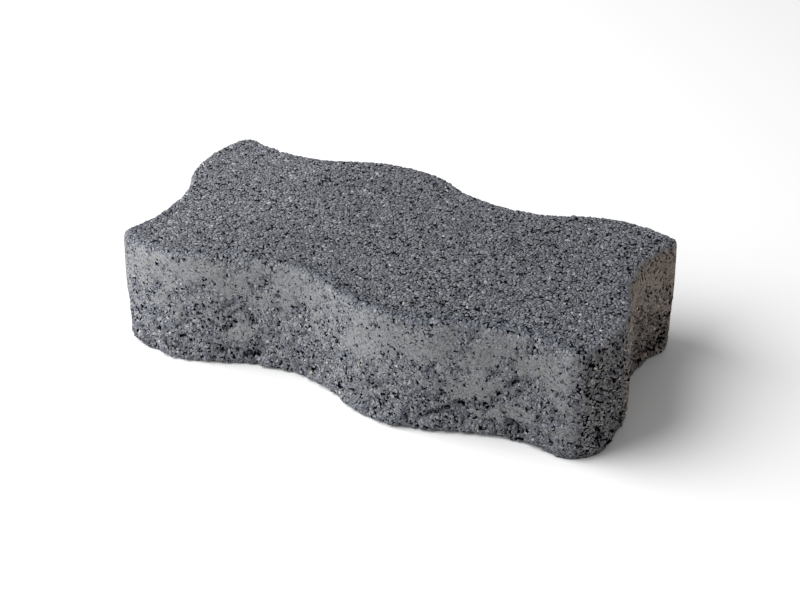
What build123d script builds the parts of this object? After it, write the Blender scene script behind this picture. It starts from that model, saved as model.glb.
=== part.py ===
from build123d import *
import os

# A pressed concrete paving stone with wavy, interlocking sides, in millimetres.
# It lies as it is laid: bedding face down on Z = 0, wearing face up, its length along X.
# The origin is the middle of the bedding face.

# Laying grid. A stone fills a row of square units, and every side of a unit carries the same wave,
# so that stones laid along or across each other still lock.
unit_edge = 125.0
units_in_a_row = 2
joint_width = 3.0

# The wave of one unit edge: how far its lobe stands out of the grid line and its hollow goes in.
wave_height = 8.0

thickness = 60.0
corner_radius = 8.0

# The mould rounds the wearing face's edge most, and the bedding face's edge crumbles a little.
top_edge_radius = 4.0
bottom_edge_radius = 2.5

row_length = units_in_a_row * unit_edge


def grid_points():
    """The corners of the units along the outline of the row, counter-clockwise from the lower left."""
    near_side = [(-row_length / 2 + i * unit_edge, -unit_edge / 2) for i in range(units_in_a_row + 1)]
    far_side = [(-x, -y) for x, y in near_side]
    return near_side + far_side


def wave_edge(start, end):
    """One unit edge: a lobe outwards, then the same arc inwards, tangent where they meet.

    The edge looks the same turned half round its middle, so it fits the next stone's edge anywhere.
    """
    middle = (Vector(*start) + Vector(*end)) / 2
    SagittaArc(start, middle, -wave_height)
    SagittaArc(middle, end, wave_height)


with BuildPart() as paving_stone:
    # Plan: the wave runs on smoothly along a side and turns a right angle at each corner of the row.
    # The stone's own outline stays half a joint inside the grid all round.
    with BuildSketch() as plan:
        with BuildLine():
            outline = grid_points()
            for start, end in zip(outline, outline[1:] + outline[:1]):
                wave_edge(start, end)
        make_face()
        offset(amount=-joint_width / 2)
        row_corners = plan.vertices().sort_by(lambda vertex: Vector(vertex.X, vertex.Y).length)[-4:]
        fillet(row_corners, radius=corner_radius)
    extrude(amount=thickness)
    fillet(paving_stone.edges().group_by(Axis.Z)[-1], radius=top_edge_radius)
    fillet(paving_stone.edges().group_by(Axis.Z)[0], radius=bottom_edge_radius)

paving_stone.part.label = "paving_stone"
os.makedirs("parts", exist_ok=True)
export_step(paving_stone.part, "parts/paving_stone.step")
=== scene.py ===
"""The looks of a pressed concrete paving stone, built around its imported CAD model."""

import math
from collections import namedtuple
from functools import partial

import bpy
import numpy as np
from bpy.props import FloatProperty, FloatVectorProperty, IntProperty, PointerProperty
from bpy.types import Operator, Panel, PropertyGroup
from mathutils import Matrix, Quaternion, Vector


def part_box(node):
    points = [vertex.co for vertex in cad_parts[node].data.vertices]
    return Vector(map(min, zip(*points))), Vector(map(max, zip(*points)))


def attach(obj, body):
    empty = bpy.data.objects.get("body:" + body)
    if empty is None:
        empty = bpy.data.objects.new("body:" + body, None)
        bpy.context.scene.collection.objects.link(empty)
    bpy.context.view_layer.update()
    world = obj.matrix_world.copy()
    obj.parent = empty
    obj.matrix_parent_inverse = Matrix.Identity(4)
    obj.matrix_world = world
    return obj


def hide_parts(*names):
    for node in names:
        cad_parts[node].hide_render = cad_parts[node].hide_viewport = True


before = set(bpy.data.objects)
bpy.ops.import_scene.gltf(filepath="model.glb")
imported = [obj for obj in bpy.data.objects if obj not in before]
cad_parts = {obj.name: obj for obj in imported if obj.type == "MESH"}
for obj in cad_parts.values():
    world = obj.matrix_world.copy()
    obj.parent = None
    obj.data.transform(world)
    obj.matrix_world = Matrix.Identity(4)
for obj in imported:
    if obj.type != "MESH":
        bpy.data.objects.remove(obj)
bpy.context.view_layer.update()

bl_info = {
    "name": "Concrete paving stone",
    "version": (1, 0, 0),
    "blender": (4, 5, 0),
    "location": "3D View > Sidebar > Paving stone",
    "description": "Builds the rough pressed concrete of an interlocking paving stone, and its studio",
    "category": "Object",
}

NODE = "paving_stone"
BAKE_MAP = "OFBake"
MM = 0.001
FULL_TURN = 2 * math.pi

# The integer hash of the Voronoi cells wraps round at 32 bits, as it should.
np.seterr(over="ignore")


def linear(hex_colour):
    """An sRGB hex colour as linear RGB with full alpha."""
    channels = [int(hex_colour[i:i + 2], 16) / 255 for i in (1, 3, 5)]
    bent = [c / 12.92 if c <= 0.04045 else ((c + 0.055) / 1.055) ** 2.4 for c in channels]
    return (*bent, 1.0)


def colour(name, hex_colour, description):
    return FloatVectorProperty(name=name, description=description, subtype="COLOR", size=4,
                               min=0.0, max=1.0, default=linear(hex_colour))


def millimetres(name, default, description):
    return FloatProperty(name=name, description=description, default=default * MM, min=0.0,
                         unit="LENGTH", subtype="DISTANCE", precision=4)


class StoneSettings(PropertyGroup):
    """Sizes of the stone's outline, its grain and its relief, and the colours of its concrete."""

    unit_edge: millimetres("Unit edge", 125, "Side of one square unit of the laying grid")
    joint_width: millimetres("Joint", 3, "Sanded joint between two stones")
    wave_height: millimetres("Wave height", 8, "How far a lobe stands out of the grid line")
    corner_radius: millimetres("Corner radius", 8, "Rounding of the four corners in plan")
    top_edge_radius: millimetres("Top edge radius", 4, "Rounding of the wearing face's edge")
    bottom_edge_radius: millimetres("Bottom edge radius", 2.5, "Rounding of the bedding face's edge")
    chip_size: millimetres("Chip size", 1.9, "Mean width of a chipping in the concrete")
    lump_size: millimetres("Lump size", 6.5, "Mean width of the lumps that the mix clots into")
    long_steps: IntProperty(name="Steps along", description="Grid steps along a long side",
                            default=300, min=40)
    short_steps: IntProperty(name="Steps across", description="Grid steps along an end",
                             default=148, min=20)
    wall_rows: IntProperty(name="Wall rows", description="Grid rows from the top face to the bed face",
                           default=56, min=20)
    chip_dark: colour("Dark chips", "#5E6067", "Basalt chippings")
    chip_mid: colour("Mid chips", "#76787F", "Grey chippings in tinted cement")
    chip_pale: colour("Pale chips", "#84868C", "Paler chippings in tinted cement")
    chip_light: colour("Light chips", "#A9AAAE", "Chippings with a pale broken face")
    coated_dark: colour("Dark coated chips", "#80848E", "Basalt chippings of the sides")
    coated_mid: colour("Mid coated chips", "#8F9299", "Grey chippings of the sides")
    coated_pale: colour("Pale coated chips", "#9FA0A5", "Paler chippings of the sides")
    coated_light: colour("Light coated chips", "#BEBEBF", "Palest chippings of the sides")
    skin_colour: colour("Cement skin", "#868789", "Thin cement film drawn along the mould wall")
    skin_shade: colour("Shade of the skin", "#7C7D80", "Darker clouds in the cement film")
    sand_dark: colour("Dark sand", "#ACACB0", "Tint between the sand's grains")
    sand_mid: colour("Mid sand", "#EEEEEE", "Tint of most of the sand")
    # The pits' near black is painted shade of the voids between and in place of the chippings.
    pit_shade: colour("Pits", "#07080F", "Voids between the chippings")


class StageSettings(PropertyGroup):
    """The camera that matches the photograph, and the studio light."""

    lens: FloatProperty(name="Lens", description="Focal length on a 36 mm wide sensor", default=92.2,
                        unit="CAMERA")
    azimuth: FloatProperty(name="Azimuth", description="Camera's turn from the near side to the right end",
                           default=math.radians(29.76), subtype="ANGLE")
    elevation: FloatProperty(name="Elevation", description="Camera's height above the horizon",
                             default=math.radians(29.90), subtype="ANGLE")
    roll: FloatProperty(name="Roll", description="Camera's turn about its own axis",
                        default=math.radians(-0.17), subtype="ANGLE")
    distance: millimetres("Distance", 996.3, "From the camera to the point that it looks at")
    aim: FloatVectorProperty(name="Aim", description="The point that the camera looks at", subtype="XYZ",
                             unit="LENGTH", default=(5.5 * MM, -9.1 * MM, 30 * MM))
    key_place: FloatVectorProperty(name="Key light's place", description="Middle of the large soft lamp",
                                   subtype="XYZ", unit="LENGTH", default=(-0.92, -0.66, 1.04))
    key_size: millimetres("Key light's size", 1900, "Width of the large soft lamp")
    key_power: FloatProperty(name="Key light", description="Power of the large soft lamp", default=46.0,
                             unit="POWER")
    fill_strength: FloatProperty(name="Fill", description="Even light of the white room", default=0.35)
    floor_colour: colour("Floor", "#F4F4F4", "Plain pale floor")


def unit(vector):
    return vector / np.hypot(*vector)


def meeting(centre_a, reach_a, centre_b, reach_b, near):
    """Where two circles cross, of the two places the one nearer to a point."""
    gap = centre_b - centre_a
    apart = np.hypot(*gap)
    along = (apart ** 2 + reach_a ** 2 - reach_b ** 2) / (2 * apart)
    aside = math.sqrt(reach_a ** 2 - along ** 2)
    foot = centre_a + gap / apart * along
    across = np.array([-gap[1], gap[0]]) / apart * aside
    return min(foot + across, foot - across, key=lambda place: np.hypot(*(place - near)))


def outline_circles(stone):
    """The circles that the outline follows, counter-clockwise from the near left corner.

    Each of the six unit edges is a lobe and a hollow of one radius on the laying grid. Half a joint
    further in, the lobe's circle is smaller and the hollow's larger by that half joint. At each of
    the four corners a small circle touches the last hollow from outside and the next lobe from inside.
    Each circle is (centre, radius, True where the stone bulges).
    """
    edge, half_joint = stone.unit_edge, stone.joint_width / 2
    quarter = edge / 4
    radius = quarter ** 2 / (2 * stone.wave_height) + stone.wave_height / 2
    offset = radius - stone.wave_height
    lobe_radius, hollow_radius = radius - half_joint, radius + half_joint
    near_side = [(x, -edge / 2) for x in (-edge, 0, edge)]
    far_side = [(x, edge / 2) for x in (edge, 0, -edge)]
    grid = [np.array(point, float) for point in near_side + far_side]
    lobes, hollows = [], []
    for start, end in zip(grid, grid[1:] + grid[:1]):
        along = unit(end - start)
        outward = np.array([along[1], -along[0]])
        lobes.append(start + along * quarter - outward * offset)
        hollows.append(start + along * 3 * quarter + outward * offset)
    circles = []
    for i, start in enumerate(grid):
        if start[0]:
            corner = meeting(hollows[i - 1], hollow_radius + stone.corner_radius,
                             lobes[i], lobe_radius - stone.corner_radius, start)
            circles.append((corner, stone.corner_radius, True))
        circles.append((lobes[i], lobe_radius, True))
        circles.append((hollows[i], hollow_radius, False))
    return circles


def outline_arcs(stone):
    """The outline's arcs as arrays: centre, radius, bulge (1 or -1), start angle, turn and length."""
    circles = outline_circles(stone)
    joints = []
    for (centre_a, radius_a, bulge_a), (centre_b, _, bulge_b) in zip(circles, circles[1:] + circles[:1]):
        towards = unit(centre_b - centre_a)
        joints.append(centre_a + towards * radius_a * (-1 if bulge_a == bulge_b else 1))
    centre = np.array([c for c, _, _ in circles])
    radius = np.array([r for _, r, _ in circles])
    bulge = np.array([1.0 if b else -1.0 for _, _, b in circles])
    leave = np.array(joints) - centre
    enter = np.roll(joints, 1, axis=0) - centre
    start = np.arctan2(enter[:, 1], enter[:, 0])
    turn = (np.arctan2(leave[:, 1], leave[:, 0]) - start) * bulge % FULL_TURN * bulge
    return centre, radius, bulge, start, turn, np.abs(turn) * radius


def outline_samples(stone):
    """Points of the outline in plan and their outward normals, evenly spaced along each side.

    The sides meet in the middle of the corner arcs: the near side, the right end, the far side and
    the left end, counter-clockwise. A point is centre + radius * (cos, sin) of its arc's angle.
    """
    centre, radius, bulge, start, turn, length = outline_arcs(stone)
    ends = np.cumsum(length)
    corner_middles = [ends[i] - length[i] / 2 for i in np.flatnonzero(radius == radius.min())]
    stops = [*corner_middles, corner_middles[0] + ends[-1]]
    counts = [stone.long_steps, stone.short_steps] * 2
    travel = np.concatenate([np.linspace(start_at, end_at, steps, endpoint=False)
                             for start_at, end_at, steps in zip(stops, stops[1:], counts)])
    travel %= ends[-1]
    arc = np.searchsorted(ends, travel, side="right").clip(max=len(ends) - 1)
    angle = start[arc] + turn[arc] * (1 - (ends[arc] - travel) / length[arc])
    ray = np.stack([np.cos(angle), np.sin(angle)], -1)
    return centre[arc] + ray * radius[arc, None], ray * bulge[arc, None]


# How far the profile reaches inwards on the two flat faces, as a share of the corner radius.
RIM_REACH = 0.82
# How closely the profile's rows lie: top rim, top edge, wall, bottom edge, bottom rim.
ROW_WEIGHTS = (1.0, 1.35, 1.0, 1.15, 0.7)


def wall_profile(stone, height, rows):
    """The stone's section from the top face over the edge, down the wall and under: (inset, z, out, up).

    A flat rim as wide as the corner radius leaves, a quarter circle, the straight wall, a smaller
    quarter circle and a flat rim again. Rows are evenly spaced along it, closer on the two rounded edges.
    """
    top, bottom = stone.top_edge_radius, stone.bottom_edge_radius
    rim = stone.corner_radius * RIM_REACH
    quarter = math.pi / 2
    wall = height - top - bottom
    lengths = np.array([rim - top, top * quarter, wall, bottom * quarter, rim - bottom])
    stops = np.concatenate([[0], np.cumsum(lengths * ROW_WEIGHTS)])
    place = np.linspace(0, stops[-1], rows)
    part = np.searchsorted(stops, place, side="right").clip(1, len(lengths)) - 1
    share = (place - stops[part]) / (stops[part + 1] - stops[part])
    parts = [part == i for i in range(len(lengths) - 1)]
    turn = np.select(parts, [1, 1 - share, 0, -share], -1) * quarter
    out, up = np.cos(turn), np.sin(turn)
    insets = [rim + (top - rim) * share, top * (1 - out), 0 * share, bottom * (1 - out)]
    heights = [height + 0 * share, height - top * (1 - up), height - top - wall * share, bottom * (1 + up)]
    inset = np.select(parts, insets, bottom + (rim - bottom) * share)
    z = np.select(parts, heights, 0 * share)
    return inset, z, out, up


def four_sides(ring, long_steps, short_steps):
    """The near, right, far and left runs of a closed ring, each with both its corners.

    The far and left runs are turned round, so that opposite runs go the same way.
    """
    turn_far = long_steps + short_steps
    turn_left = turn_far + long_steps
    near = ring[:long_steps + 1]
    right = ring[long_steps:turn_far + 1]
    far = ring[turn_far:turn_left + 1][::-1]
    left = np.concatenate([ring[turn_left:], ring[:1]])[::-1]
    return near, right, far, left


def coons(ring, long_steps, short_steps):
    """A patch filled in from a closed ring of points, as a (short, long) grid of points.

    Each inner point is the near and far sides blended across, plus the left and right ends blended
    along, less the four corners blended both ways.
    """
    near, right, far, left = four_sides(ring, long_steps, short_steps)
    u = np.linspace(0, 1, long_steps + 1)[None, :, None]
    v = np.linspace(0, 1, short_steps + 1)[:, None, None]
    sides = near[None] * (1 - v) + far[None] * v
    ends = left[:, None] * (1 - u) + right[:, None] * u
    corners = (near[0] * (1 - u) + near[-1] * u) * (1 - v) + (far[0] * (1 - u) + far[-1] * u) * v
    return sides + ends - corners


def patch_faces(ring, inner, long_steps, short_steps):
    """Quads of a patch whose rim is the ring's vertices and whose inside is numbered on from inner."""
    index = np.empty((short_steps + 1, long_steps + 1), int)
    index[0], index[:, -1], index[-1], index[:, 0] = four_sides(ring, long_steps, short_steps)
    index[1:-1, 1:-1] = inner + np.arange((short_steps - 1) * (long_steps - 1)).reshape(short_steps - 1, -1)
    return np.stack([index[:-1, :-1], index[:-1, 1:], index[1:, 1:], index[1:, :-1]], -1).reshape(-1, 4)


def halving_faces(fine, coarse):
    """Triangles between a closed ring and one of half as many vertices, three to each pair of steps."""
    a, b, c = fine[0::2], fine[1::2], np.roll(fine[0::2], -1)
    d, e = coarse, np.roll(coarse, -1)
    return np.concatenate([np.stack(t, -1) for t in ((a, d, b), (b, d, e), (b, e, c))])


# Steps of the noises' lattice before it repeats.
LATTICE = 48


def value_noise(points, size, seed):
    """Smooth random values from 0 to 1: random numbers on a cubic lattice, blended with an S-curve."""
    table = np.random.default_rng(seed).random((LATTICE, LATTICE, LATTICE))
    q = points / size
    low = np.floor(q).astype(int)
    f = q - low
    f = f * f * (3 - 2 * f)
    total = 0.0
    for corner in np.ndindex(2, 2, 2):
        corner = np.array(corner)
        i, j, k = ((low + corner) % LATTICE).T
        total = total + table[i, j, k] * np.prod(np.where(corner, f, 1 - f), axis=1)
    return total


# The relief's noises: width in millimetres, octaves, and first seed.
NOISES = {
    "warp": (3.2, 2, 11), "clot warp": (9, 2, 21),
    "wander": (7, 3, 23), "wide film": (19, 3, 31),
    "fine film": (5.2, 3, 35), "speckle": (2.4, 2, 41),
    "drag": (2.4, 2, 51), "drag patches": (9, 2, 53),
    "face swell": (34, 2, 61), "side swell": (26, 3, 63),
    "edge loss": (5, 3, 65), "worn foot": (11, 3, 71),
    "lifted foot": (9, 3, 73), "wide tone": (42, 2, 81),
    "fine tone": (9, 2, 83),
}
# Brings one value noise's usual spread to about -1 to 1.
SPREAD = 2.6


def clouds(name, points, extra=0):
    """Fractal noise about 0, mostly within -1 to 1: value noises, each half as wide and half as strong.

    Width, octaves and seed stand in the table. A later seed by extra gives another noise of the kind.
    """
    size, octaves, seed = NOISES[name]
    seed += extra
    total = sum(0.5 ** i * (value_noise(points, size * 0.5 ** i, seed + i) - 0.5) for i in range(octaves))
    return total * SPREAD / sum(0.25 ** i for i in range(octaves)) ** 0.5


def s_curve(low, high, x):
    """An S-curve of x, 0 up to low and 1 from high on, or falling where high is the smaller."""
    t = np.clip((x - low) / (high - low), 0, 1)
    return t * t * (3 - 2 * t)


def rotated(x, k):
    """Numbers of 32 bits with their bits moved up by k places, and round."""
    return (x << np.uint32(k)) | (x >> np.uint32(32 - k))


def stirred(a, b, c):
    """The last stage of a well known integer hash, on whole arrays of 32 bit numbers."""
    for k1, k2, k3 in ((14, 11, 25), (16, 4, 14)):
        c = (c ^ b) - rotated(b, k1)
        a = (a ^ c) - rotated(c, k2)
        b = (b ^ a) - rotated(a, k3)
    return (c ^ b) - rotated(b, 24)


def mixed(a, b, c):
    """The middle stage of the same hash."""
    for k1, k2, k3 in ((4, 6, 8), (16, 19, 4)):
        a = (a - c) ^ rotated(c, k1)
        c = c + b
        b = (b - a) ^ rotated(a, k2)
        a = a + c
        c = (c - b) ^ rotated(b, k3)
        b = b + a
    return a, b, c


# Where the hash starts for three and for four numbers, and the largest value that it gives.
HASH_OF_3 = np.uint32(0xDEADBEEF + 12 + 13)
HASH_OF_4 = np.uint32(0xDEADBEEF + 16 + 13)
HASH_LIMIT = float(0xFFFFFFFF)


def cell_randoms(cell):
    """Three random numbers from 0 to 1 for each cell, the same as Blender's Voronoi texture gives it.

    The first is the hash of the cell's place, and the others hash it with a one and with a two.
    """
    plain = (*np.moveaxis(cell + 0.0, -1, 0), np.ones(cell.shape[:-1]), np.full(cell.shape[:-1], 2.0))
    x, y, z, one, two = (np.ascontiguousarray(v, np.float32).view(np.uint32) for v in plain)
    found = [stirred(HASH_OF_3 + x, HASH_OF_3 + y, HASH_OF_3 + z)]
    for extra in (one, two):
        a, b, c = mixed(HASH_OF_4 + x, HASH_OF_4 + y, HASH_OF_4 + z)
        found.append(stirred(a + extra, b, c))
    return np.stack(found, -1) / HASH_LIMIT


# Each point's distance to its cell's edge, way to its centre, and random numbers.
Cells = namedtuple("Cells", "edge away random")


def cells(points):
    """Blender's 3D Voronoi cells at each point.

    A cell's centre is a random place in its unit cube. The edge is half way to the next centre.
    """
    low = np.floor(points)
    steps = [np.array(step, float) - 1 for step in np.ndindex(3, 3, 3)]
    centres = [low + step + cell_randoms(low + step) for step in steps]
    away = np.stack([c - points for c in centres], 0)
    nearest = (away ** 2).sum(-1).argmin(0)
    own = np.take_along_axis(away, nearest[None, :, None], 0)[0]
    across = away - own
    span = np.linalg.norm(across, axis=-1)
    edge = ((away + own) / 2 * across).sum(-1) / np.maximum(span, 1e-9)
    edge[span < 1e-4] = np.inf
    home = low + np.array(steps)[nearest]
    return Cells(edge.min(0), own[0], cell_randoms(home))


# How far the bedding face's two rings are drawn towards the middle, in plan.
BED_RINGS = ((0.984, 0.984, 1), (0.95, 0.95, 1))
# One step of the bedding face's patch, in steps of the wall.
BED_STEP = 4


def stone_surface(stone, height):
    """The smooth stone as a closed mesh: points, outward normals, outward plan directions, insets, faces.

    The wall is the profile carried round the outline: point = outline - plan normal * inset, at the
    profile's height. The wearing face inside it is one patch. Under the stone two rings halve the count
    of points, each the last one drawn towards the middle, and a coarser patch closes the bedding face.
    """
    long_steps, short_steps, rows = stone.long_steps, stone.short_steps, stone.wall_rows
    plan, outward = outline_samples(stone)
    count = len(plan)
    inset, z, out, up = wall_profile(stone, height, rows)
    wall = np.empty((rows, count, 3))
    wall[..., :2] = plan - outward * inset[:, None, None]
    wall[..., 2] = z[:, None]
    wall_normal = np.empty_like(wall)
    wall_normal[..., :2] = outward * out[:, None, None]
    wall_normal[..., 2] = up[:, None]
    index = np.arange(rows * count).reshape(rows, count)
    ahead = np.roll(index, -1, axis=1)
    quads = [np.stack([index[:-1], index[1:], ahead[1:], ahead[:-1]], -1).reshape(-1, 4)]

    points = [wall.reshape(-1, 3)]
    normals = [wall_normal.reshape(-1, 3)]
    insets = [np.repeat(inset, count)]
    up_axis = np.array([0.0, 0.0, 1.0])

    def add(new, normal):
        start = sum(map(len, points))
        points.append(new)
        normals.append(np.broadcast_to(normal, new.shape))
        insets.append(np.full(len(new), inset[-1]))
        return start + np.arange(len(new))

    face = coons(wall[0], long_steps, short_steps)
    inner = add(face[1:-1, 1:-1].reshape(-1, 3), up_axis)[0]
    quads.append(patch_faces(index[0], inner, long_steps, short_steps))
    u = np.linspace(0, 1, long_steps + 1)[None, 1:-1]
    v = np.linspace(0, 1, short_steps + 1)[1:-1, None]
    from_sides = np.minimum(v, 1 - v) * stone.unit_edge
    from_ends = np.minimum(u, 1 - u) * 2 * stone.unit_edge
    insets[-1] = inset[0] + np.minimum(from_sides, from_ends).reshape(-1)

    first_ring = wall[-1, ::2] * BED_RINGS[0]
    second_ring = first_ring[::2] * BED_RINGS[1]
    first = add(first_ring, -up_axis)
    second = add(second_ring, -up_axis)
    triangles = [halving_faces(index[-1], first), halving_faces(first, second)]
    bed_steps = long_steps // BED_STEP, short_steps // BED_STEP
    bed = coons(second_ring, *bed_steps)
    inner = add(bed[1:-1, 1:-1].reshape(-1, 3), -up_axis)[0]
    quads.append(patch_faces(second, inner, *bed_steps)[:, ::-1])
    points, normals = np.concatenate(points), np.concatenate(normals)
    away = np.zeros_like(points)
    away[:rows * count, :2] = np.tile(outward, (rows, 1))
    return points, normals, away, np.concatenate(insets), np.concatenate(quads), np.concatenate(triangles)


# Marks on the near side, as on the photographed stone: middle x and z, half length, slope in degrees,
# half width, and depth of the torn places; all in millimetres but the slope.
GOUGES = np.array([
    (57, 13, 4, 24, 2, 3.2), (64, 17, 3, 14, 1.2, 2), (90, 33, 2, 60, 2.2, 2.6),
    (94, 29, 1.5, 20, 2.4, 2.2), (90, 8, 3, -30, 2.6, 2.8), (111, 23, 4, 70, 1.6, 2),
    (82, 36, 2, 30, 1.4, 1.8), (53, 35, 2, 50, 1.8, 2), (-50, 7, 2, -8, 2.4, 3.4),
    (-62, 8, 2, 15, 1.8, 2.6), (-60, 22, 3, 50, 1.6, 2.2), (-50, 26, 3, 80, 1.2, 2),
    (-61, 33, 5, 42, 0.9, 1.8), (-57, 31, 5, 42, 0.8, 1.6), (-36, 42, 0.8, 0, 1.2, 2.2),
    (-49, 46, 1.2, 80, 1, 2), (-38, 20, 2, 30, 1.6, 2), (-25, 41, 3, -55, 1, 1.8),
    (-18, 7, 2, 0, 1.8, 2), (-97, 16, 1, 0, 2, 2.4), (-84, 13, 2, 20, 1.6, 2),
    (14, 9, 5, -14, 1.6, 1.8), (-3, 28, 7, -55, 0.9, 1.2), (28, 20, 3, 40, 1.6, 1.8),
])
# Holes in the right end: middle y and z, and the rest as above.
END_GOUGES = np.array([
    (-37, 40, 3, 60, 2.2, 3.4), (-45, 30, 2, 40, 1.4, 2.4), (-35, 29, 2, 70, 1.4, 2.4),
    (-42, 10, 3, 20, 1.8, 2.8), (-30, 52, 2, 80, 1, 2), (21, 8, 3, 30, 2.6, 3.4),
    (12, 16, 4, -20, 1.6, 2.8), (34, 12, 2, 0, 2, 3), (40, 30, 2, 80, 1.4, 2.4),
    (16, 30, 2, 70, 1.2, 2.4),
])
# The corners' blunting: direction of the corner in degrees, and how much of its tip is worn away at
# the wearing face and at the foot, in millimetres.
BLUNTED_CORNERS = ((-72, 0.8, 8), (-38, 0.8, 8), (27, 1.6, 4), (152, 0.5, 2.5), (-153, 0.5, 4))
# How gently a blunted tip is pressed back, in millimetres.
BLUNT_SOFTNESS = 3.0
# How far the near side's foot stands out, over its length; both in millimetres.
NEAR_FOOT = np.array([
    (-115, 0), (-105, -1.6), (-96, 0.5), (-88, 0.9), (-80, -0.4), (-60, 0), (-48, 0.6),
    (-35, 0.5), (-29, -1), (-21, 1.2), (-13, 0.2), (5, 0), (21, -0.4), (28, 1.3),
    (37, 2), (45, 0), (53, 0.8), (62, 1.2), (70, 2.2), (82, 2.4), (90, 0.4), (105, 0),
])
# The deepest that the relief may go at the foot, over the height; both in millimetres.
FOOT_ROOM = np.array([(0, 0.8), (1.2, 1.2), (4, 2.6), (8, 6)])
# How surely the sides carry a cement film, over the height in millimetres. Above 0 there is film.
FILM_BY_HEIGHT = np.array([
    (0, -0.42), (8, -0.36), (18, -0.24), (34, -0.08), (48, 0.12), (56, 0.20), (60, 0),
])
# Smooth patches of cement film on the near side: middle x and z, half length, slope, half width,
# and how surely the film is there.
FILM_PATCHES = np.array([
    (-101, 50, 10, 0, 7, 0.55), (-73, 52, 6, 0, 6, 0.50), (-53, 48, 3, 0, 5, 0.40),
    (-25, 48, 6, -20, 9, 0.60), (-11, 32, 5, -60, 6, 0.40), (-57, 18, 3, 30, 6, 0.75),
    (44, 47, 14, -4, 8, 0.55), (73, 40, 3, 0, 6, 0.50), (105, 45, 10, -6, 8, 0.60),
    (78, 27, 3, 40, 6, 0.50), (95, 16, 7, -10, 5, 0.55), (78, 13, 5, -5, 4.5, 0.55),
    (67, 24, 2, 0, 4, 0.45), (20, 38, 6, 0, 9, 0.35), (120, 13, 4, 0, 6, 0.35),
])
# The hidden far side and left end carry the same marks, moved along by so many millimetres.
FAR_SHIFT, LEFT_SHIFT = 14, 9

# How much a chipping's own luck counts for its film, and the S-curve that the film then follows.
FILM_LUCK = 0.30
FILM_CURVE = (-0.06, 0.14)

# Where the two patterns of cells begin, so that no cell's corner lies at the stone's middle.
CHIP_START, CLOT_START = 37.0, 61.0
# How far noise bends chippings, clots (twice), the film's patches and torn places, in millimetres.
CHIP_WARP, CLOT_WARP, CLOT_WIDE_WARP, FILM_WANDER, TORN_WANDER = 0.6, 1.8, 1.5, 2.2, 0.5
# Depths in millimetres, on the wearing face, on open sides and on filmed sides: of a seam, of a wide
# gap, of uneven and of tilted chippings, and of a lost one's pit.
SEAM_DEPTH = (0.22, 0.40, 0.05)
GAP_DEPTH = (2.0, 2.6, 0.0)
UNEVEN_DEPTH = (0.20, 0.75, 0.05)
TILT_DEPTH = (0.80, 1.7, 0.1)
PIT_DEPTH = (0.35, 0.9, 0.8)
BED_SEAM_DEPTH = 0.2
# Depths of the clots: of creases and uneven ones, of tilted ones, and of a lost one's hollow.
CLOT_DEPTH, CLOT_TILT, CLOT_HOLLOW = 1.3, 2.4, 1.8
# The deepest that all of these go, and the deepest on the wearing face.
DEEPEST, DEEPEST_ON_TOP = 5.0, 2.4
# The mean depth on each face, which is taken off again.
MEAN_DEPTH = (0.33, 1.0, 0.25)
# The depth at which the painted shade of deep places is full.
SHADED_DEPTH = 3.8
# Noises of the walls are drawn out downwards, as the mould dragged them.
DRAWN_OUT, DRAWN_OUT_AT_FOOT = (1, 1, 0.2), (1, 1, 0.4)


def marks(table, x, z):
    """How deep or sure the table's marks are at each point.

    Each mark is a rounded bar: its full value near its middle line, and none past its half width.
    """
    middle_x, middle_z, length, slope, width, value = (column[:, None] for column in table.T)
    slope = np.radians(slope)
    dx, dz = x - middle_x, z - middle_z
    run = np.clip(dx * np.cos(slope) + dz * np.sin(slope), -length, length)
    away = np.hypot(dx - run * np.cos(slope), dz - run * np.sin(slope))
    return (value * (1 - s_curve(0.25, 1.0, away / width))).max(0)


def weighed(weights, shares):
    """The sum of each weight times its share."""
    return sum(weight * share for weight, share in zip(weights, shares))


# Each point's share, from 0 to 1, in each face and in each zone of the stone.
Zones = namedtuple("Zones", "side top bed near far left_end right_end ends bare_left bare_right low")


def stone_zones(y, z, n):
    """Each point's share in each face: S-curves of its outward normal's part along the face's axis.

    The bare zones are the ends next to one corner each. low is the sides' open lower part.
    """
    side = np.hypot(n[:, 0], n[:, 1])
    near, far = (s_curve(0.2, 0.6, s * n[:, 1]) * side for s in (-1, 1))
    left_end, right_end = (s_curve(0.35, 0.8, s * n[:, 0]) * side for s in (-1, 1))
    bare_left = s_curve(0.5, 0.95, -n[:, 0]) * side * s_curve(8, 26, y)
    bare_right = s_curve(0.5, 0.95, n[:, 0]) * side * s_curve(-8, -26, y)
    top = s_curve(0.3, 0.9, n[:, 2])
    bed = s_curve(0.3, 0.9, -n[:, 2])
    ends = np.maximum(right_end, left_end)
    return Zones(side, top, bed, near, far, left_end, right_end, ends, bare_left, bare_right,
                 s_curve(34, 4, z))


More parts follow.
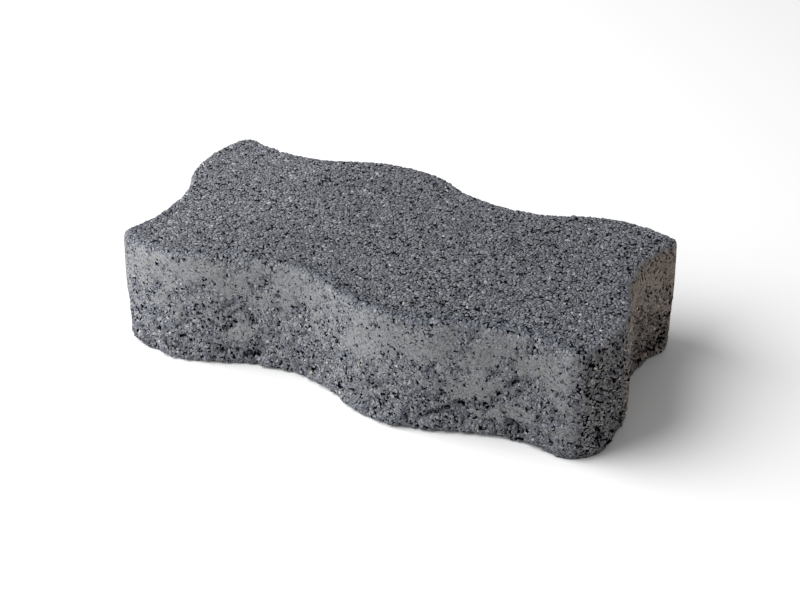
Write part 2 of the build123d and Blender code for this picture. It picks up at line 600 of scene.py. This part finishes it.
def torn_and_film(p, on):
    """Depth of the torn places, and how surely each point carries a cement film.

    The marks are read at places that wander with a noise. The film is the table over the height, plus
    two noises and its patches, less the bare zones and the torn places.
    """
    x, y, z = p.T
    wander = np.stack([clouds("wander", p, i) for i in range(2)], -1)
    wide_x, wide_z = x + FILM_WANDER * wander[:, 0], z + FILM_WANDER * wander[:, 1]
    torn = marks(GOUGES, x + TORN_WANDER * wander[:, 0], z + TORN_WANDER * wander[:, 1]) * on.near
    torn = np.maximum(torn, marks(GOUGES, wide_x - FAR_SHIFT, wide_z) * on.far)
    end_y = y + TORN_WANDER * wander[:, 0]
    torn = np.maximum(torn, marks(END_GOUGES, end_y, wide_z) * on.right_end)
    torn = np.maximum(torn, marks(END_GOUGES, end_y + LEFT_SHIFT, wide_z) * on.left_end)
    film = np.interp(z, *FILM_BY_HEIGHT.T)
    film = film + 0.18 * clouds("wide film", p) + 0.36 * clouds("fine film", p)
    film = film + 0.16 * on.ends - 0.6 * (on.bare_right + on.bare_left)
    film = film + marks(FILM_PATCHES, wide_x, wide_z) * on.near
    film = film + marks(FILM_PATCHES, wide_x - FAR_SHIFT, wide_z) * on.far - 0.25 * torn
    return torn, film


def openness(p, on, filmed, rough):
    """Width of the gaps as a share of a chipping, and the share of chippings that are missing.

    Both are a least value, plus a speckling noise, plus parts for some zones, and less under film.
    """
    x = p[:, 0]
    speckle = clouds("speckle", p)
    gap = 0.035 + 0.21 * s_curve(-0.15, 0.95, speckle) ** 1.5 - 0.03 * on.top * s_curve(-60, -115, x)
    gap = gap + 0.03 * on.top * s_curve(-40, 90, x) + 0.06 * on.bare_right
    gap = gap * (1 - 0.75 * filmed) + 0.05 * on.right_end
    missing = 0.012 + 0.04 * s_curve(0.2, 1.0, speckle) + rough * (0.05 + 0.04 * on.low)
    return gap, missing * (1 - 0.6 * filmed)


def chip_relief(chip, on, filmed, rough, gap, missing):
    """Depth that the chippings give.

    Depth = seam and gap depth * nearness to the edge + uneven standing + slant * way to the centre
    + pit depth where the chipping is gone.
    """
    faces = on.top, rough, filmed
    rounded = s_curve(0.0, 1.0, chip.edge / (gap + 0.06))
    tilt = ((chip.random - 0.5) * chip.away).sum(-1)
    gone = s_curve(0.0, 0.02, missing - chip.random[:, 1]) * s_curve(0.02, 0.25, chip.edge)
    depth = weighed(SEAM_DEPTH, faces) + BED_SEAM_DEPTH * on.bed + weighed(GAP_DEPTH, faces) * gap
    depth *= 1 - rounded
    depth += weighed(UNEVEN_DEPTH, faces) * chip.random[:, 0]
    depth += tilt * weighed(TILT_DEPTH, faces)
    depth += gone * weighed(PIT_DEPTH, faces)
    return depth


def clot_relief(clot, on, rough):
    """Depth that the clots of the sides give, and how much a point lies in a crevice between them.

    Depth = crease at the edge + uneven standing + slant * way to the centre + hollow where it is gone.
    """
    clotted = rough * (0.42 + 0.60 * on.low)
    crease = 1 - s_curve(0.0, 0.20, clot.edge)
    depth = clotted * CLOT_DEPTH * (crease + clot.random[:, 0])
    depth += clotted * ((clot.random - 0.5) * clot.away).sum(-1) * CLOT_TILT
    gone = s_curve(0.0, 0.02, 0.12 * on.low + 0.02 - clot.random[:, 1])
    depth += rough * gone * CLOT_HOLLOW * s_curve(0.0, 0.25, clot.edge)
    return depth, clotted * (1 - s_curve(0.0, 0.14, clot.edge))


def worn_foot(stone, p, on, inset):
    """How far the walls' foot is worn back, and how far its rim is lifted.

    Wear = S-curve of the height * noise, less the near foot's table, plus a part for the ends. It
    fades under the stone. The lift is a noise along the foot's edge.
    """
    x, _, z = p.T
    foot = s_curve(14, 0, z)
    worn = foot * (0.1 + 0.9 * clouds("worn foot", p * DRAWN_OUT_AT_FOOT))
    worn = worn - foot * on.near * np.interp(x, *NEAR_FOOT.T)
    worn = np.where(on.near > 0, worn, worn.clip(-0.2)) + 0.5 * on.ends * s_curve(24, 6, z)
    fade = s_curve(stone.corner_radius / MM * 0.8, 2.0, inset)
    lift = s_curve(6.4, 1.5, inset) * s_curve(4, 0, z)
    lift = lift * (0.15 + 0.8 * clouds("lifted foot", p * DRAWN_OUT)).clip(0)
    return worn * fade, lift


def blunted(moved, p):
    """The moved points with each corner's tip pressed back along the corner's direction.

    What reaches d past the blunted tip then reaches d / (1 + d / softness) past it.
    """
    z = p[:, 2]
    for turn, at_top, at_foot in BLUNTED_CORNERS:
        blunt = at_top + (at_foot - at_top) * (0.6 * s_curve(42, 14, z) + 0.4 * s_curve(8, 0, z))
        diagonal = np.array([math.cos(math.radians(turn)), math.sin(math.radians(turn))])
        reach = moved[:, :2] @ diagonal
        past = (reach - ((p[:, :2] @ diagonal).max() - blunt)).clip(0)
        moved[:, :2] -= (past - past / (1 + past / BLUNT_SOFTNESS))[:, None] * diagonal
    return moved


def concrete_relief(stone, p, n, away, inset):
    """The rough concrete: where each point of the smooth stone goes, and what the material reads there.

    Point = smooth point - normal * depth - plan direction * wear, all in millimetres. Chippings are
    Voronoi cells on warped coordinates, and larger cells make clots on the sides. The mean depth is
    taken off, so that the smooth stone is the mean of the rough one.
    """
    x, y, z = p.T
    up = n[:, 2]
    on = stone_zones(y, z, n)
    warp = np.stack([clouds("warp", p, i) for i in range(3)], -1)
    grain = (p + CHIP_WARP * warp) / (stone.chip_size / MM) + CHIP_START
    chip = cells(grain)
    clot_place = p + CLOT_WARP * warp + CLOT_WIDE_WARP * clouds("clot warp", p)[:, None]
    clot = cells(clot_place / (stone.lump_size / MM) + CLOT_START)

    torn, film = torn_and_film(p, on)
    filmed = s_curve(*FILM_CURVE, film + FILM_LUCK * (0.5 - chip.random[:, 0])) * on.side
    rough = on.side - filmed
    gap, missing = openness(p, on, filmed, rough)
    chip_depth = chip_relief(chip, on, filmed, rough, gap, missing)
    clot_depth, crevice = clot_relief(clot, on, rough)

    # Vertical tears of the ends, gentle swells, and the crumbled edge of the wearing face.
    drag = clouds("drag", p * DRAWN_OUT) + 0.3 * clouds("drag patches", p) - 0.1 * filmed
    drag = on.ends * s_curve(0.22, 0.70, drag)
    swell = 0.22 * clouds("face swell", p) * (1 - on.side) + 0.50 * clouds("side swell", p) * on.side
    edge_loss = s_curve(9, 2, inset) * s_curve(0.95, 0.55, up) * s_curve(52, 57, z)
    edge_loss = edge_loss * (0.4 + 0.6 * clouds("edge loss", p)).clip(0) * 0.8
    rim = s_curve(0.97, 0.7, up) * s_curve(0.05, 0.4, up)
    chip_depth *= 1 - 0.4 * rim

    depth = np.minimum(chip_depth + clot_depth + torn + 1.2 * drag, DEEPEST)
    # Painted shade of deep places: depth, tears and crevices darken the material towards the pits' near
    # black.
    recess_shade = np.clip(depth / SHADED_DEPTH + 0.2 * drag + 0.2 * crevice, 0, 1)
    top_mean, rough_mean, filmed_mean = MEAN_DEPTH
    depth = depth + swell + edge_loss - top_mean * on.top - (filmed_mean * filmed + rough_mean * rough)
    foot_room = np.interp(z, *FOOT_ROOM.T)
    depth = np.where(up > 0.05, np.minimum(depth, DEEPEST_ON_TOP), np.minimum(depth, foot_room))
    depth = np.where(on.bed > 0, np.maximum(depth, 0.0), depth)

    worn, lift = worn_foot(stone, p, on, inset)
    moved = blunted(p - n * depth[:, None] - away * worn[:, None], p)
    moved[:, 2] = (moved[:, 2] + lift).clip(0.0)

    # Painted shade: a darker, bluish band along the near edge of the wearing face.
    edge_shade_band = s_curve(17, 5, inset) * on.top * s_curve(15, -25, y - 0.1 * x)
    edge_shade_band = edge_shade_band * s_curve(132, 112, x) * (0.6 + 0.4 * s_curve(-60, 20, x))
    # Painted light falloff on a random mottling: the near side is darker to the right, and the stone is
    # paler to the left.
    tone_and_falloff = 0.6 * clouds("wide tone", p) + 0.4 * clouds("fine tone", p)
    tone_and_falloff = tone_and_falloff - 2.2 * on.near * s_curve(55, 92, x) + 2.2 * s_curve(-20, -115, x)
    fields = {
        "film": film,
        "side": on.side,
        "gap": gap,
        "missing": missing,
        "recess_shade": recess_shade,
        "edge_shade_band": edge_shade_band,
        "tone_and_falloff": tone_and_falloff,
        # The right end's earthy tint, which also brightens it as painted light.
        "earth_and_light": on.right_end * (0.3 + 0.7 * s_curve(-30, -8, y)) + 0.2 * on.left_end,
    }
    return moved, grain, fields


def node(tree, inputs=(), stops=(), kind="Math", **settings):
    """Adds a node with its settings, its ramp stops, and its inputs as values or as links.

    The inputs are a dictionary by name, or stand in the order of the node's inputs in use. A node
    given as an input is linked by its first output in use.
    """
    made = tree.nodes.new("ShaderNode" + kind)
    for name, value in settings.items():
        setattr(made, name, value)
    in_use = [i for i, socket in enumerate(made.inputs) if socket.enabled]
    for key, value in inputs.items() if isinstance(inputs, dict) else zip(in_use, inputs):
        if isinstance(value, bpy.types.Node):
            value = next(socket for socket in value.outputs if socket.enabled)
        if isinstance(value, bpy.types.NodeSocket):
            tree.links.new(value, made.inputs[key])
        else:
            made.inputs[key].default_value = value
    for i, (position, shade) in enumerate(stops):
        if i > 1:
            made.color_ramp.elements.new(position)
        made.color_ramp.elements[i].position = position
        made.color_ramp.elements[i].color = shade
    return made


# Settings of the nodes that the concrete uses most. The plain node adds two numbers.
TIMES = {"operation": "MULTIPLY"}
TIMES_PLUS = {"operation": "MULTIPLY_ADD"}
LESS = {"operation": "SUBTRACT"}
GREATER = {"operation": "MAXIMUM"}
S_CURVE = {"kind": "MapRange", "interpolation_type": "SMOOTHSTEP"}
BLEND = {"kind": "Mix", "data_type": "RGBA"}
TINT = {**BLEND, "blend_type": "MULTIPLY"}

# What tints the concrete, brighter than white where above 1.
WHITE = (1.0, 1.0, 1.0, 1.0)
TAN_GRAIN = (1.3, 1.12, 0.85, 1.0)
RUST_GRAIN = (1.9, 0.95, 0.45, 1.0)
PALE_SAND = (1.25, 1.25, 1.24, 1.0)
# Painted shade of the near edge, darker and bluish.
BLUISH_EDGE_SHADE = (0.76, 0.79, 0.82, 1.0)
# The right end's earthy tint, above 1 in red and green as painted light.
EARTHY_LIGHT_END = (1.30, 1.07, 0.88, 1.0)

# Grains of coarse sand to the width of a chipping, which makes them about 0.8 mm wide.
SAND_PER_CHIP = 2.3
# Widths of fine sand, of the stretches with open gaps, of pores, and of clouds in the film.
SAND_WIDTH, BREAK_WIDTH, PORE_WIDTH, CLOUD_WIDTH = 0.9 * MM, 1.7 * MM, 2.2 * MM, 9 * MM
# Height of the bump that stands for relief finer than the mesh.
BUMP_HEIGHT = 0.50 * MM


def pressed_concrete(stone):
    """Vibration-pressed concrete of basalt chippings in dark tinted cement.

    To the eye it is matt and grainy: each chipping has its own grey, the gaps between them are painted
    nearly black as the shade of the voids, and along the mould wall a smooth, paler film of cement hides
    them in patches. A few grains are tan or rust coloured. Painted shade makes a darker, bluish band along
    the near edge of the wearing face, the right end has an earthy tint brightened as painted light, and
    painted light falloff leaves the stone paler to the left and the near side darker to the right.
    """
    material = bpy.data.materials.new("pressed_concrete_with_chippings")
    material.use_nodes = True
    tree = material.node_tree
    tree.nodes.clear()
    add = partial(node, tree)

    field = {name: add(kind="Attribute", attribute_name=name).outputs["Fac"] for name in
             ("film", "side", "gap", "missing", "recess_shade", "edge_shade_band", "tone_and_falloff", "earth_and_light")}
    side = field["side"]
    grain = add(kind="Attribute", attribute_name="grain").outputs["Vector"]
    place = add(kind="TexCoord").outputs["Object"]

    chips = add({"Vector": grain, "Scale": 1.0}, kind="TexVoronoi")
    edges = add({"Vector": grain, "Scale": 1.0}, kind="TexVoronoi", feature="DISTANCE_TO_EDGE")
    chip_lots = add([chips.outputs["Color"]], kind="SeparateColor").outputs
    coarse = add({"Vector": grain, "Scale": SAND_PER_CHIP}, kind="TexVoronoi")
    sand_lots = add([coarse.outputs["Color"]], kind="SeparateColor").outputs
    sand = add({"Vector": place, "Scale": 1 / SAND_WIDTH, "Detail": 3.0, "Roughness": 0.65}, kind="TexNoise")
    pores = add({"Vector": place, "Scale": 1 / PORE_WIDTH, "Detail": 2.0, "Roughness": 0.6}, kind="TexNoise")
    breaks = add({"Vector": place, "Scale": 1 / BREAK_WIDTH, "Detail": 1.0}, kind="TexNoise")
    cloud = add({"Vector": place, "Scale": 1 / CLOUD_WIDTH, "Detail": 2.0}, kind="TexNoise")

    # The film lies as in the relief: its field and the chipping's luck, through the same S-curve.
    film = add([field["film"], FILM_LUCK / 2])
    film = add([chip_lots["Red"], -FILM_LUCK, film], **TIMES_PLUS)
    film = add([add([film, *FILM_CURVE], **S_CURVE), side], **TIMES)

    # Each chipping's grey, paler on the sides, and the film over them.
    chip = add([chip_lots["Blue"]], kind="ValToRGB", stops=(
        (0.0, stone.chip_dark), (0.30, stone.chip_mid), (0.90, stone.chip_pale), (0.99, stone.chip_light)))
    coated = add([chip_lots["Blue"]], kind="ValToRGB", stops=(
        (0.0, stone.coated_dark), (0.45, stone.coated_mid), (0.93, stone.coated_pale),
        (0.985, stone.coated_light)))
    skin = add([add([cloud, 0.6], **TIMES), stone.skin_colour, stone.skin_shade], **BLEND)
    body = add([side, chip, coated], **BLEND)
    body = add([add([film, 0.9], **TIMES), body, skin], **BLEND)

    # A few tan and rust grains, speckling sand, the painted shade of the near edge, and the right end's
    # earthy tint brightened as painted light.
    grains = add([sand_lots["Red"]], kind="ValToRGB", stops=(
        (0.0, WHITE), (0.991, WHITE), (0.992, TAN_GRAIN), (0.9975, RUST_GRAIN)))
    grains.color_ramp.interpolation = "CONSTANT"
    body = add([1.0, body, grains], **TINT)
    speckles = add([sand], kind="ValToRGB", stops=(
        (0.30, stone.sand_dark), (0.50, stone.sand_mid), (0.70, PALE_SAND)))
    body = add([add([side, 0.55, 0.45], **TIMES_PLUS), body, speckles], **TINT)
    body = add([field["edge_shade_band"], body, BLUISH_EDGE_SHADE], **TINT)
    body = add([field["earth_and_light"], body, EARTHY_LIGHT_END], **TINT)

    # The gaps are open only where a noise passes a threshold: short strokes of painted black shade, with
    # faint seams.
    threshold = 0.60
    for value, share in ((side, 0.015), (film, 0.005), (field["gap"], -0.55)):
        threshold = add([value, share, threshold], **TIMES_PLUS)
    opened = add([add([breaks, threshold], **LESS), 0.0, 0.05], **S_CURVE)
    width = add([field["gap"], 0.5, 0.14], **TIMES_PLUS)
    width = add([opened, width, 0.055], **TIMES_PLUS)
    chip_body = add([edges, add([width, 0.55], **TIMES), width], **S_CURVE)
    gap = add([1.0, chip_body], **LESS)
    seam = add([film, -0.20, 0.26], **TIMES_PLUS)
    seam = add([side, 0.04, seam], **TIMES_PLUS)
    strength = add([opened, 0.72, seam], use_clamp=True, **TIMES_PLUS)
    gap = add([gap, strength], **TIMES)

    # Missing chippings, pores, lost grains of sand and deep places, most of all on the sides, are painted
    # nearly black as shade of the voids.
    gone = add([add([field["missing"], chip_lots["Green"]], **LESS), 0.0, 0.02], **S_CURVE)
    gone = add([gone, add([side, 0.4], **TIMES)], **TIMES)
    pore = add([field["earth_and_light"], 0.04, pores], **TIMES_PLUS)
    pore = add([add([pore, 0.65, 0.67], **S_CURVE), side], **TIMES)
    fine = add([film, -0.10, sand_lots["Green"]], **TIMES_PLUS)
    fine = add([fine, 0.84, 0.86], **S_CURVE)
    fine = add([fine, add([side, 0.22, 0.06], **TIMES_PLUS)], **TIMES)
    # Painted shade of deep places, broken up by a noise.
    deep = add([add([breaks, 0.5], **LESS), 1.6, field["recess_shade"]], **TIMES_PLUS)
    deep = add([add([deep, 0.88, 1.02], **S_CURVE), 0.9], **TIMES)
    dark = add([gap, gone], **GREATER)
    for hole in (pore, fine, deep):
        dark = add([dark, hole], **GREATER)
    # The nearly black pits are painted shade.
    body = add([dark, body, stone.pit_shade], **BLEND)

    # Wide patches and single grains of sand differ in brightness, and the wide field also carries painted
    # light falloff: paler to the left, darker at the near side's right.
    brightness = add([field["tone_and_falloff"], 0.10, 0.91], **TIMES_PLUS)
    brightness = add([sand_lots["Blue"], 0.18, brightness], **TIMES_PLUS)
    body = add([body, brightness], kind="VectorMath", operation="SCALE")

    # Each chipping's broken face lies at its own slant, with rounded edges, and the film levels it.
    slant = add([grain, chips.outputs["Position"]], kind="VectorMath", **LESS)
    lean = add([chips.outputs["Color"], (0.5, 0.5, 0.5)], kind="VectorMath", **LESS)
    slant = add([slant, lean], kind="VectorMath", operation="DOT_PRODUCT")
    relief = add([add([edges, 0.0, 0.28], **S_CURVE), 1.7], **TIMES)
    relief = add([slant, 1.9, relief], **TIMES_PLUS)
    relief = add([relief, add([1.0, film], **LESS)], **TIMES)
    for height, share in ((sand_lots["Blue"], 0.25), (pore, -1.0), (sand, 0.5)):
        relief = add([height, share, relief], **TIMES_PLUS)
    bump = add({"Height": relief, "Strength": 1.0, "Distance": BUMP_HEIGHT}, kind="Bump")
    gloss = add([dark, -0.35, 0.35], **TIMES_PLUS)
    shader = add({"Base Color": body, "Roughness": 0.9, "IOR": 1.5, "Specular IOR Level": gloss,
                  "Normal": bump}, kind="BsdfPrincipled")
    add({"Surface": shader}, kind="OutputMaterial")
    return material


# Gap between the islands of the bake layout, and the number of strips that the wall is cut into.
ISLAND_GAP = 2 * MM
WALL_STRIPS = 3


def bake_layout(stone, points, quads, triangles):
    """Where each face corner lies on a flat square sheet, from 0 to 1, in real proportions.

    The wearing face and, above it on the sheet, the bedding face are seen straight on. The wall is
    unrolled, travel along the outline against travel down the profile, and cut into three strips: the
    first lies above the two faces, the others stand beside them. All keep a gap from each other.
    """
    gap = ISLAND_GAP
    rows, count = stone.wall_rows, 2 * (stone.long_steps + stone.short_steps)
    wall = points[:rows * count].reshape(rows, count, 3)
    ring = wall[rows // 2]
    along = np.append(0, np.cumsum(np.linalg.norm(np.roll(ring, -1, axis=0) - ring, axis=1)))
    down = np.append(0, np.cumsum(np.linalg.norm(np.diff(wall[:, 0], axis=0), axis=1)))
    strip = np.arange(count) * WALL_STRIPS // count
    first = np.searchsorted(strip, strip)
    left, right = along[:-1] - along[first], along[1:] - along[first]
    run = np.stack([left, left, right, right], -1)[None] + np.zeros((rows - 1, 1, 1))
    fall = np.stack([down[:-1], down[1:], down[1:], down[:-1]], -1)[:, None] + np.zeros((1, count, 1))
    half_x, half_y = np.abs(wall[0, :, :2]).max(0)
    beside = 2 * gap + 2 * half_x + (strip[:, None] - 1) * (down[-1] + gap)
    above = 3 * gap + 4 * half_y + down[-1]
    lying = (strip == 0)[:, None]
    wall_x = np.where(lying, gap + run, beside + fall)
    wall_y = np.where(lying, above - fall, gap + run)

    x, y, z = points[np.append(quads[(rows - 1) * count:], triangles)].T
    wearing = z > points[:, 2].max() / 2
    flat_x = gap + half_x + x
    flat_y = np.where(wearing, gap + half_y + y, 2 * gap + 3 * half_y - y)
    wall_places = np.stack([wall_x, wall_y], -1).reshape(-1, 2)
    places = np.concatenate([wall_places, np.stack([flat_x, flat_y], -1)])
    return places / (places.max() + gap)


def filled_mesh(name, points, quads, triangles):
    """A mesh from arrays of points, quads and triangles."""
    mesh = bpy.data.meshes.new(name)
    mesh.vertices.add(len(points))
    mesh.vertices.foreach_set("co", points.astype(np.float32).ravel())
    corners = np.concatenate([quads.ravel(), triangles.ravel()])
    mesh.loops.add(len(corners))
    mesh.loops.foreach_set("vertex_index", corners.astype(np.int32))
    mesh.polygons.add(len(quads) + len(triangles))
    starts = np.concatenate([np.arange(len(quads)) * 4, quads.size + np.arange(len(triangles)) * 3])
    mesh.polygons.foreach_set("loop_start", starts.astype(np.int32))
    mesh.update(calc_edges=True)
    return mesh


class MESH_OT_pressed_paving_stone(Operator):
    """Build the paving stone with its chippings, cement film, pits and worn lower edge"""

    bl_idname = "mesh.pressed_paving_stone"
    bl_label = "Pressed paving stone"

    def execute(self, context):
        stone = context.scene.paving_stone
        low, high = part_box(NODE)
        height = high[2] - low[2]
        p, n, away, inset, quads, triangles = stone_surface(stone, height)
        moved, grain, fields = concrete_relief(stone, p / MM, n, away, inset / MM)
        mesh = filled_mesh("pressed_stone", moved * MM, quads, triangles)
        attribute = mesh.attributes.new("grain", "FLOAT_VECTOR", "POINT")
        attribute.data.foreach_set("vector", grain.astype(np.float32).ravel())
        for name, values in fields.items():
            attribute = mesh.attributes.new(name, "FLOAT", "POINT")
            attribute.data.foreach_set("value", values.astype(np.float32))
        layout = mesh.uv_layers.new(name=BAKE_MAP).uv
        layout.foreach_set("vector", bake_layout(stone, p, quads, triangles).astype(np.float32).ravel())
        mesh.shade_smooth()
        if mesh.validate():
            raise RuntimeError("the stone's mesh has bad faces")
        piece = bpy.data.objects.new("pressed_stone", mesh)
        context.scene.collection.objects.link(piece)
        mesh.materials.append(pressed_concrete(stone))
        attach(piece, "root")
        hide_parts(NODE)
        return {"FINISHED"}


# Half the width of the square floor, in metres.
FLOOR_REACH = 20.0


class SCENE_OT_paving_stone_studio(Operator):
    """Set up the camera of the photograph, a pale floor and soft studio light"""

    bl_idname = "scene.paving_stone_studio"
    bl_label = "Studio"

    def execute(self, context):
        scene, stage = context.scene, context.scene.paving_stone_stage
        level = math.cos(stage.elevation)
        back = Vector((math.sin(stage.azimuth) * level, -math.cos(stage.azimuth) * level,
                       math.sin(stage.elevation)))
        camera = bpy.data.objects.new("photo_camera", bpy.data.cameras.new("photo_camera"))
        camera.data.lens = stage.lens
        camera.location = Vector(stage.aim) + back * stage.distance
        camera.rotation_mode = "QUATERNION"
        camera.rotation_quaternion = back.to_track_quat("Z", "Y") @ Quaternion((0, 0, 1), stage.roll)
        scene.collection.objects.link(camera)
        scene.camera = camera

        corners = FLOOR_REACH * np.array([(-1, -1, 0), (1, -1, 0), (1, 1, 0), (-1, 1, 0)])
        board = filled_mesh("floor", corners, np.array([[0, 1, 2, 3]]), np.empty((0, 3), int))
        floor = bpy.data.objects.new("floor", board)
        scene.collection.objects.link(floor)
        matt = bpy.data.materials.new("matt_white_board")
        matt.use_nodes = True
        matt.node_tree.nodes.clear()
        plain = {"Base Color": stage.floor_colour, "Roughness": 1.0, "Specular IOR Level": 0.0}
        shader = node(matt.node_tree, plain, kind="BsdfPrincipled")
        node(matt.node_tree, {"Surface": shader}, kind="OutputMaterial")
        floor.data.materials.append(matt)

        key = bpy.data.objects.new("key_light", bpy.data.lights.new("key_light", "AREA"))
        key.data.energy = stage.key_power
        key.data.shape = "DISK"
        key.data.size = stage.key_size
        key.location = stage.key_place
        key.rotation_mode = "QUATERNION"
        key.rotation_quaternion = Vector(stage.key_place).to_track_quat("Z", "Y")
        scene.collection.objects.link(key)

        world = bpy.data.worlds.new("white_room")
        world.use_nodes = True
        world.node_tree.nodes.clear()
        sky = node(world.node_tree, {"Color": WHITE, "Strength": stage.fill_strength}, kind="Background")
        node(world.node_tree, {"Surface": sky}, kind="OutputWorld")
        scene.world = world
        scene.view_settings.view_transform = "Standard"
        return {"FINISHED"}


class VIEW3D_PT_paving_stone(Panel):
    """Lists the stone's and the studio's buttons and settings"""

    bl_label = "Paving stone"
    bl_space_type = "VIEW_3D"
    bl_region_type = "UI"
    bl_category = "Paving stone"

    def draw(self, context):
        for group, operator in ((context.scene.paving_stone_stage, SCENE_OT_paving_stone_studio),
                                (context.scene.paving_stone, MESH_OT_pressed_paving_stone)):
            box = self.layout.box()
            for name in group.__annotations__:
                box.prop(group, name)
            box.operator(operator.bl_idname)


CLASSES = (StoneSettings, StageSettings, MESH_OT_pressed_paving_stone, SCENE_OT_paving_stone_studio,
           VIEW3D_PT_paving_stone)


def register():
    for cls in CLASSES:
        bpy.utils.register_class(cls)
    bpy.types.Scene.paving_stone = PointerProperty(type=StoneSettings)
    bpy.types.Scene.paving_stone_stage = PointerProperty(type=StageSettings)


def unregister():
    del bpy.types.Scene.paving_stone_stage
    del bpy.types.Scene.paving_stone
    for cls in reversed(CLASSES):
        bpy.utils.unregister_class(cls)


def main():
    register()
    bpy.ops.scene.paving_stone_studio()
    bpy.ops.mesh.pressed_paving_stone()


if __name__ == "__main__":
    main()
